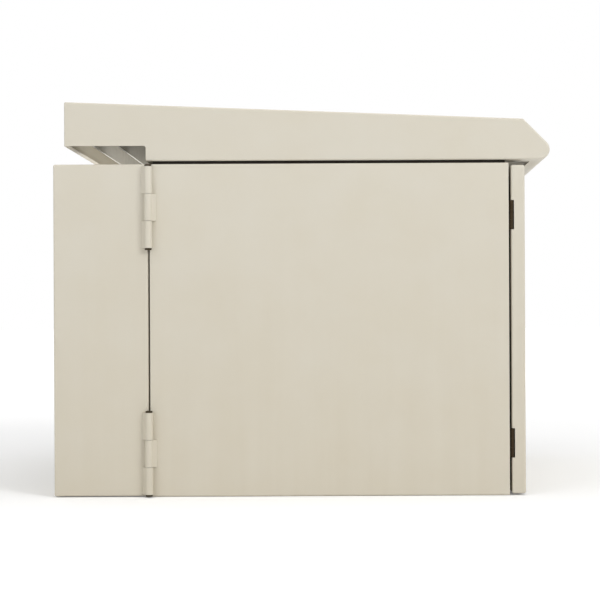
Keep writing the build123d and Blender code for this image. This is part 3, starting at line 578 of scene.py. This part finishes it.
thin_coat, tree, shader, place = start_material("thin_powder_coat_over_zinc_primer")
cover = add(tree, "ShaderNodeTexNoise",
    {"Vector": place["Object"], "Scale": 1000 / shadow_mm, "Detail": 4.0})
tone = add(tree, "ShaderNodeMix",
    {0: cover.outputs[0], 6: linear(thin_coat_grey), 7: linear(thin_coat_zinc)}, data_type="RGBA")
dull = add(tree, "ShaderNodeMapRange",
    {0: cover.outputs[0], 1: noise_low, 2: noise_high, 3: thin_coat_rough[0], 4: thin_coat_rough[1]})
grit = add(tree, "ShaderNodeTexNoise", {"Vector": place["Object"], "Scale": 1000 / peel_mm, "Detail": 2.0})
bump = add(tree, "ShaderNodeBump", {"Height": grit.outputs[0], "Strength": 0.4, "Distance": peel_depth})
feed(shader, {
    "Base Color": tone.outputs[2],
    "Roughness": dull.outputs[0],
    "Normal": bump.outputs[0],
})
dress(thin_coat, "rain_baffle_front", "rain_baffle_back")

bolt_across = 0.010
bolt_head = 0.004
bolt_shank = 0.003
bolt_pitch = 0.150
bolt_row = 0.267
low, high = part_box("roof_bolts")
roof_bolts = grow(
    "roof_bolts_hexagon", hexagons,
    [(x, y, low.z + bolt_head) for x in (-bolt_pitch, 0.0, bolt_pitch) for y in (-bolt_row, bolt_row)],
    [down] * 6,
    Across=bolt_across, Height=bolt_head, Shank=bolt_shank, Length=high.z - low.z - bolt_head,
    Finish=bright_zinc,
)
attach(roof_bolts, "cabinet")
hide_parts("roof_bolts")


# Insect screen: plain-weave aluminium wire held in a folded hem, spot fixed behind the step of
# the hood. Each wire is crimped over and under the ones that it crosses. The wire is pale grey, with
# duller patches of oxide.
wire_pitch = 0.003
wire_radius = 0.00024
hem = 0.006
wire_colour = "#b9bcbe"
wire_oxide = "#8f9396"
oxide_mm = 12.0
wire_rough = (0.35, 0.5)

aluminium, tree, shader, place = start_material("drawn_aluminium_wire")
oxide = add(tree, "ShaderNodeTexNoise",
    {"Vector": place["Object"], "Scale": 1000 / oxide_mm, "Detail": 3.0})
tone = add(tree, "ShaderNodeMix",
    {0: oxide.outputs[0], 6: linear(wire_colour), 7: linear(wire_oxide)}, data_type="RGBA")
sheen = add(tree, "ShaderNodeMapRange",
    {0: oxide.outputs[0], 1: noise_low, 2: noise_high, 3: wire_rough[0], 4: wire_rough[1]})
feed(shader, {
    "Metallic": 1.0,
    "Base Color": tone.outputs[2],
    "Roughness": sheen.outputs[0],
})

# A wire is repeated a hundred times, so its section has only four sides. Every second wire is rolled
# half a turn, so that neighbours pass a crossing wire on opposite sides.
screen_wire_sides = 4
weave, sizes = start_tree("plain_weave_wire_screen", "Width", "Rise", "Pitch", "Wire", "Crimp", "Hem")
ring = add(weave, "GeometryNodeCurvePrimitiveCircle",
    {"Resolution": screen_wire_sides, "Radius": sizes["Wire"]}, mode="RADIUS")
sheets = []
for span, cross, side, flip in (("Rise", "Width", 2, 1.0), ("Width", "Rise", 1, -1.0)):
    crossings = add(weave, "ShaderNodeMath", {0: sizes[span], 1: sizes["Pitch"]}, operation="DIVIDE")
    wires = add(weave, "ShaderNodeMath", {0: sizes[cross], 1: sizes["Pitch"]}, operation="DIVIDE")
    ahead = add(weave, "ShaderNodeCombineXYZ", {side: sizes["Pitch"]})
    aside = add(weave, "ShaderNodeCombineXYZ", {3 - side: sizes["Pitch"]})
    line = add(weave, "GeometryNodeMeshLine",
        {"Count": crossings.outputs[0], "Offset": ahead.outputs[0]}, mode="OFFSET")
    index = add(weave, "GeometryNodeInputIndex")
    odd = add(weave, "ShaderNodeMath", {0: index.outputs[0], 1: 2.0}, operation="MODULO")
    sway = add(weave, "ShaderNodeMath", {0: odd.outputs[0], 1: 2.0, 2: -1.0}, operation="MULTIPLY_ADD")
    depth = add(weave, "ShaderNodeMath", {0: sway.outputs[0], 1: sizes["Crimp"]}, operation="MULTIPLY")
    signed = add(weave, "ShaderNodeMath", {0: depth.outputs[0], 1: flip}, operation="MULTIPLY")
    shift = add(weave, "ShaderNodeCombineXYZ", {0: signed.outputs[0]})
    crimped = add(weave, "GeometryNodeSetPosition", {0: line.outputs[0], "Offset": shift.outputs[0]})
    path = add(weave, "GeometryNodeMeshToCurve", {0: crimped.outputs[0]})
    wire = add(weave, "GeometryNodeCurveToMesh",
        {0: path.outputs[0], "Profile Curve": ring.outputs[0], "Fill Caps": True})
    row = add(weave, "GeometryNodeMeshLine",
        {"Count": wires.outputs[0], "Offset": aside.outputs[0]}, mode="OFFSET")
    turn = add(weave, "ShaderNodeMath", {0: odd.outputs[0], 1: pi}, operation="MULTIPLY")
    roll = add(weave, "ShaderNodeCombineXYZ", {side: turn.outputs[0]})
    rolled = add(weave, "FunctionNodeEulerToRotation", {0: roll.outputs[0]})
    laid = add(weave, "GeometryNodeInstanceOnPoints",
        {"Points": row.outputs[0], "Instance": wire.outputs[0], "Rotation": rolled.outputs[0]})
    sheets.append(laid.outputs[0])
back = add(weave, "ShaderNodeMath", {0: sizes["Width"], 1: -0.5}, operation="MULTIPLY")
fell = add(weave, "ShaderNodeMath", {0: sizes["Rise"], 1: -0.5}, operation="MULTIPLY")
centre = add(weave, "ShaderNodeCombineXYZ", {1: back.outputs[0], 2: fell.outputs[0]})
cloth = add(weave, "GeometryNodeJoinGeometry", {0: sheets})
centred = add(weave, "GeometryNodeTransform", {0: cloth.outputs[0], "Translation": centre.outputs[0]})
thick = add(weave, "ShaderNodeMath", {0: sizes["Crimp"], 1: sizes["Wire"]}, operation="ADD")
both = add(weave, "ShaderNodeMath", {0: thick.outputs[0], 1: 2.0}, operation="MULTIPLY")
hems = []
for span, cross, side in (("Width", "Rise", 1), ("Rise", "Width", 2)):
    size = add(weave, "ShaderNodeCombineXYZ",
        {0: both.outputs[0], side: sizes[span], 3 - side: sizes["Hem"]})
    strip = add(weave, "GeometryNodeMeshCube", {"Size": size.outputs[0]})
    inset = add(weave, "ShaderNodeMath", {0: sizes[cross], 1: sizes["Hem"]}, operation="SUBTRACT")
    for way in (-0.5, 0.5):
        outward = add(weave, "ShaderNodeMath", {0: inset.outputs[0], 1: way}, operation="MULTIPLY")
        move = add(weave, "ShaderNodeCombineXYZ", {3 - side: outward.outputs[0]})
        folded = add(weave, "GeometryNodeTransform",
            {0: strip.outputs["Mesh"], "Translation": move.outputs[0]})
        hems.append(folded.outputs[0])
panel = add(weave, "GeometryNodeJoinGeometry", {0: [centred.outputs[0]] + hems})
end_tree(weave, sizes, panel.outputs[0])

low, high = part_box("insect_screen")
insect_screen = grow(
    "insect_screen_plain_weave", weave, [(low + high) / 2], [up],
    Width=high.y - low.y, Rise=high.z - low.z, Pitch=wire_pitch, Wire=wire_radius,
    Crimp=(high.x - low.x) / 2 - wire_radius, Hem=hem, Finish=aluminium,
)
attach(insect_screen, "cabinet")
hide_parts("insect_screen")


# Door gaskets: extruded EPDM strips with rounded edges, bent round the corners in one run and glued
# to the door frames, where the returns of the doors press on them.
corner_steps = 12
edge_steps = 5
edge_share = 0.45
strip_loop, sizes = start_tree(
    "rounded_strip_round_an_opening", "Width", "Rise", "Strip", "Thickness", "Corner")
inside_width = add(strip_loop, "ShaderNodeMath",
    {0: sizes["Width"], 1: sizes["Strip"]}, operation="SUBTRACT")
inside_rise = add(strip_loop, "ShaderNodeMath", {0: sizes["Rise"], 1: sizes["Strip"]}, operation="SUBTRACT")
path = add(strip_loop, "GeometryNodeCurvePrimitiveQuadrilateral",
    {"Width": inside_width.outputs[0], "Height": inside_rise.outputs[0]}, mode="RECTANGLE")
bent = add(strip_loop, "GeometryNodeFilletCurve",
    {"Curve": path.outputs[0], "Count": corner_steps, "Radius": sizes["Corner"]}, mode="POLY")
level = add(strip_loop, "GeometryNodeSetCurveNormal", {"Curve": bent.outputs[0]}, mode="Z_UP")
section = add(strip_loop, "GeometryNodeCurvePrimitiveQuadrilateral",
    {"Width": sizes["Strip"], "Height": sizes["Thickness"]}, mode="RECTANGLE")
edge = add(strip_loop, "ShaderNodeMath", {0: sizes["Thickness"], 1: edge_share}, operation="MULTIPLY")
soft = add(strip_loop, "GeometryNodeFilletCurve",
    {"Curve": section.outputs[0], "Count": edge_steps, "Radius": edge.outputs[0]}, mode="POLY")
swept = add(strip_loop, "GeometryNodeCurveToMesh", {0: level.outputs[0], "Profile Curve": soft.outputs[0]})
stood = add(strip_loop, "GeometryNodeTransform",
    {0: swept.outputs[0], "Rotation": (radians(90.0), 0.0, radians(90.0))})
smooth = add(strip_loop, "GeometryNodeSetShadeSmooth", {0: stood.outputs[0]})
end_tree(strip_loop, sizes, smooth.outputs[0])

gasket_strip = 0.010
gasket_corner = 0.012
for node in ("deep_door_gasket", "shallow_door_gasket"):
    low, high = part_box(node)
    gasket = grow(
        node + "_rounded_strip", strip_loop, [(low + high) / 2], [up],
        Width=high.y - low.y, Rise=high.z - low.z, Strip=gasket_strip, Thickness=high.x - low.x,
        Corner=gasket_corner, Finish=rubber,
    )
    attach(gasket, "cabinet")
    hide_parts(node)


# Barrel hinges: painted steel knuckles welded to the door and the body, on blackened steel pins.
# The doors are hung before painting, so the coat runs over the knuckles and leaves the pin ends.
dress(powder_coat, "lower_hinge_body_knuckle", "upper_hinge_body_knuckle")
dress(powder_coat, "lower_hinge_door_knuckles", "upper_hinge_door_knuckles")

# Black oxide on oiled steel is a dark brown that rubs paler where parts bear on each other.
black_oxide = "#2a2318"
oxide_worn = "#463c2e"
rub_mm = 4.0
rub_depth = 0.0001
oxide_rough = (0.35, 0.6)

dark_steel, tree, shader, place = start_material("blackened_oiled_steel")
rub = add(tree, "ShaderNodeTexNoise", {"Vector": place["Object"], "Scale": 1000 / rub_mm, "Detail": 4.0})
tone = add(tree, "ShaderNodeMix",
    {0: rub.outputs[0], 6: linear(black_oxide), 7: linear(oxide_worn)}, data_type="RGBA")
sheen = add(tree, "ShaderNodeMapRange",
    {0: rub.outputs[0], 1: noise_low, 2: noise_high, 3: oxide_rough[0], 4: oxide_rough[1]})
bump = add(tree, "ShaderNodeBump", {"Height": rub.outputs[0], "Strength": 0.3, "Distance": rub_depth})
feed(shader, {
    "Metallic": 1.0,
    "Base Color": tone.outputs[2],
    "Roughness": sheen.outputs[0],
    "Normal": bump.outputs[0],
})
dress(dark_steel, "lower_hinge_pin", "upper_hinge_pin")


# Deep door: a dish of 1.5 mm steel sheet, folded, welded at its corners and powder coated with the
# body. Six louvres are pressed in its face, and the door knuckles of the hinges are welded to its edge.
dress(powder_coat, "deep_door_shell")


# Filter: a pad of needled polyester fleece in a moulded frame behind the louvres. The fleece swells
# a little through the windows of the frame. It is off-white, fibrous and quite matt.
dress(moulded_plastic, "filter_frame")
fleece_pale = "#d9dad4"
fleece_grey = "#b5b6ae"
# Tangled fibres, drawn coarser than the real ones, so that they show.
fibre_mm = 1.6
fibre_depth = 0.0006
loft_mm = 9.0
fleece_rough = 0.95
fleece_sheen = 0.3

fleece, tree, shader, place = start_material("needled_polyester_fleece")
fibre = add(tree, "ShaderNodeTexNoise",
    {"Vector": place["Object"], "Scale": 1000 / fibre_mm, "Detail": 4.0, "Distortion": 2.5})
loft = add(tree, "ShaderNodeTexNoise", {"Vector": place["Object"], "Scale": 1000 / loft_mm, "Detail": 3.0})
tone = add(tree, "ShaderNodeMix",
    {0: loft.outputs[0], 6: linear(fleece_pale), 7: linear(fleece_grey)}, data_type="RGBA")
bump = add(tree, "ShaderNodeBump", {"Height": fibre.outputs[0], "Strength": 0.8, "Distance": fibre_depth})
feed(shader, {
    "Roughness": fleece_rough,
    "Sheen Weight": fleece_sheen,
    "Base Color": tone.outputs[2],
    "Normal": bump.outputs[0],
})

low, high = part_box("filter_pad")
frame_bar = 0.006
pad_swell = 0.0015
pad_round = 0.004
pad_slack = 0.0006
loft_height = 0.0003
loft_length = 0.012
rim_merge = 0.00001
columns = 120
rows = 66
middle = (low + high) / 2
half = (high - low) / 2
pad_mesh = bpy.data.meshes.new("filter_pad_crowned_fleece")
pad = bmesh.new()
layers = []
for side in (-1, 1):
    layer = []
    for row in range(rows + 1):
        for column in range(columns + 1):
            y = half.y * (2 * column / columns - 1)
            z = half.z * (2 * row / rows - 1)
            rim = min(half.y - abs(y), half.z - abs(z), pad_round) / pad_round
            tuck = sqrt(1 - (1 - rim) ** 2)
            window_y = max(0.0, (abs(y) - frame_bar / 2) / (half.y - frame_bar / 2))
            window_z = max(0.0, (abs(z) - frame_bar / 2) / (half.z - frame_bar / 2))
            crown = (16 * window_y * (1 - window_y) * window_z * (1 - window_z)) ** 0.5
            uneven = loft_height * noise.noise(Vector((y, z, side)) / loft_length)
            x = (half.x - pad_slack + uneven) * tuck + (pad_swell * crown if side > 0 else 0.0)
            layer.append(pad.verts.new((middle.x + side * x, middle.y + y, middle.z + z)))
    layers.append(layer)
for side, layer in zip((-1, 1), layers):
    for row in range(rows):
        for column in range(columns):
            first = row * (columns + 1) + column
            loop = [first, first + 1, first + columns + 2, first + columns + 1]
            pad.faces.new([layer[n] for n in (loop if side > 0 else reversed(loop))])
bmesh.ops.remove_doubles(pad, verts=pad.verts, dist=rim_merge)
for face in pad.faces:
    face.smooth = True
pad.to_mesh(pad_mesh)
pad.free()
filter_pad = bpy.data.objects.new("filter_pad_crowned_fleece", pad_mesh)
pad_mesh.materials.append(fleece)
bpy.context.scene.collection.objects.link(filter_pad)
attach(filter_pad, "deep_door")
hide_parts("filter_pad")

filter_head = 0.0038
filter_head_height = 0.0024
filter_shank = 0.002
low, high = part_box("filter_screws")
seat = high.x - filter_head_height
filter_screws = grow(
    "filter_screws_cross_recess", pan_heads,
    [(seat, y, z) for y in (low.y + filter_head, high.y - filter_head)
        for z in (low.z + filter_head, high.z - filter_head)],
    [(1.0, 0.0, 0.0)] * 4,
    Head=filter_head, Height=filter_head_height, Shank=filter_shank, Length=seat - low.x, Finish=bright_zinc,
)
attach(filter_screws, "deep_door")
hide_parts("filter_screws")


# Shallow door: a thin pan of steel sheet, folded, welded and powder coated. It hangs on two butt
# hinges of blackened steel, whose barrels stand in slots of its edge.
dress(powder_coat, "shallow_door_shell")
dress(dark_steel, "lower_butt_hinge_body_leaf", "upper_butt_hinge_body_leaf")
dress(dark_steel, "lower_butt_hinge_door_leaf", "upper_butt_hinge_door_leaf")
dress(dark_steel, "lower_butt_hinge_pin", "upper_butt_hinge_pin")


# Quarter-turn latches: chromed zinc die castings with a triangular key, held by a plated nut, and
# a plated steel cam on each spindle.
# Chrome on a casting is a sharp cool mirror, with a slight haze from the casting under it.
chrome_colour = "#a9acaf"
chrome_haze = "#93969a"
haze_mm = 7.0
chrome_rough = (0.14, 0.26)

chrome, tree, shader, place = start_material("chromed_zinc_die_casting")
haze = add(tree, "ShaderNodeTexNoise", {"Vector": place["Object"], "Scale": 1000 / haze_mm, "Detail": 3.0})
tone = add(tree, "ShaderNodeMix",
    {0: haze.outputs[0], 6: linear(chrome_colour), 7: linear(chrome_haze)}, data_type="RGBA")
sheen = add(tree, "ShaderNodeMapRange",
    {0: haze.outputs[0], 1: noise_low, 2: noise_high, 3: chrome_rough[0], 4: chrome_rough[1]})
feed(shader, {
    "Metallic": 1.0,
    "Base Color": tone.outputs[2],
    "Roughness": sheen.outputs[0],
})
dress(chrome, "deep_latch_housings", "shallow_latch_housings")
dress(bright_zinc, "deep_latch_nuts", "shallow_latch_nuts")
for door in ("deep", "shallow"):
    for level in ("lower", "upper"):
        dress(bright_zinc, f"{door}_latch_{level}_spindle", f"{door}_latch_{level}_cam")


# Studio: a seamless white paper floor that keeps the soft shadow, under three plain softboxes. Two
# small cards on the tops of the doors bounce a little light up under the hood, as white card would.
def seen_by_eye(tree):
    ray = add(tree, "ShaderNodeLightPath").outputs
    seen = add(tree, "ShaderNodeMath",
        {0: ray["Is Camera Ray"], 1: ray["Is Glossy Ray"]}, operation="MAXIMUM")
    shown = add(tree, "ShaderNodeMath",
        {0: seen.outputs[0], 1: ray["Is Transmission Ray"]}, operation="MAXIMUM")
    return shown.outputs[0]


floor_mesh = bpy.data.meshes.new("studio_floor")
floor_half = 40.0
floor_drop = 0.0003
paper_white = "#f8f8f8"
paper_shade = "#f6f6f6"
paper_mm = 3.0
paper_rough = 0.9
fade_from = 0.6
fade_to = 3.5
glow_near = 0.12
glow_far = 0.75
lamp_white = (1.0, 1.0, 1.0, 1.0)
floor_mesh.from_pydata(
    [(x * floor_half, y * floor_half, 0.0) for x, y in ((-1, -1), (1, -1), (1, 1), (-1, 1))],
    [], [(0, 1, 2, 3)],
)
floor = bpy.data.objects.new("studio_floor", floor_mesh)
floor.location.z = -floor_drop
bpy.context.scene.collection.objects.link(floor)
paper, tree, shader, place = start_material("white_paper_floor")
grain = add(tree, "ShaderNodeTexNoise", {"Vector": place["Object"], "Scale": 1000 / paper_mm})
white = add(tree, "ShaderNodeMix",
    {0: grain.outputs[0], 6: linear(paper_white), 7: linear(paper_shade)}, data_type="RGBA")
away = add(tree, "ShaderNodeVectorMath", {0: place["Object"]}, operation="LENGTH")
fade = add(tree, "ShaderNodeMapRange",
    {0: away.outputs["Value"], 1: fade_from, 2: fade_to, 3: glow_near, 4: glow_far})
glow = add(tree, "ShaderNodeMath", {0: seen_by_eye(tree), 1: fade.outputs[0]}, operation="MULTIPLY")
feed(shader, {
    "Base Color": white.outputs[2],
    "Emission Strength": glow.outputs[0],
    "Emission Color": lamp_white,
    "Roughness": paper_rough,
    "Specular IOR Level": 0.0,
})
floor_mesh.materials.append(paper)

sky_light = 0.36
world = bpy.data.worlds.new("studio")
world.use_nodes = True
bpy.context.scene.world = world
tree = world.node_tree
level = add(tree, "ShaderNodeMapRange", {0: seen_by_eye(tree), 3: sky_light, 4: 1.0})
sky = tree.nodes["Background"]
feed(sky, {"Color": lamp_white, "Strength": level.outputs[0]})

aim_point = Vector((0.0, 0.0, 0.25))
for name, spot, side, power in (
    ("key_softbox", (3.4, -3.7, 2.6), 2.0, 105.0),
    ("fill_softbox", (-3.0, -3.6, 1.2), 2.5, 30.0),
    ("top_softbox", (0.0, -0.3, 3.0), 3.0, 52.0),
):
    lamp = bpy.data.lights.new(name, "AREA")
    lamp.size = side
    lamp.energy = power
    softbox = bpy.data.objects.new(name, lamp)
    softbox.location = spot
    softbox.rotation_euler = (aim_point - Vector(spot)).to_track_quat("-Z", "Y").to_euler()
    bpy.context.scene.collection.objects.link(softbox)

card_clear = 0.0012
card_start = -0.20
card_end = 0.24
for name, door, side, power in (
    ("bounce_card_over_deep_door", "deep_door_shell", 0.105, 0.150),
    ("bounce_card_over_shallow_door", "shallow_door_shell", 0.014, 0.020),
):
    door_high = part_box(door)[1]
    card = bpy.data.lights.new(name, "AREA")
    card.shape = "RECTANGLE"
    card.size = side
    card.size_y = card_end - card_start
    card.energy = power
    bounce = bpy.data.objects.new(name, card)
    bounce.location = (door_high.x - side / 2, (card_start + card_end) / 2, door_high.z + card_clear)
    bounce.rotation_euler = (radians(180.0), 0.0, 0.0)
    bounce.visible_camera = False
    bpy.context.scene.collection.objects.link(bounce)


# Camera: level with the middle of the body and square to the hinged side, as in the photograph. Its
# shift brings the picture's frame to where the photograph has it.
camera_distance = 1.80
camera_right = 0.037
camera_height = 0.218
camera_roll = 0.27
view_width = 0.750
film_width = 36.0
frame_shift = (-0.0987, 0.0358)
near_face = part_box("near_side_panel")[0].y
lens = bpy.data.cameras.new("camera")
lens.sensor_width = film_width
lens.lens = film_width * camera_distance / view_width
lens.shift_x, lens.shift_y = frame_shift
camera = bpy.data.objects.new("camera", lens)
camera.location = (camera_right, near_face - camera_distance, camera_height)
camera.rotation_euler = (radians(90.0), radians(camera_roll), 0.0)
bpy.context.scene.collection.objects.link(camera)
bpy.context.scene.camera = camera
bpy.context.scene.view_settings.view_transform = "Standard"
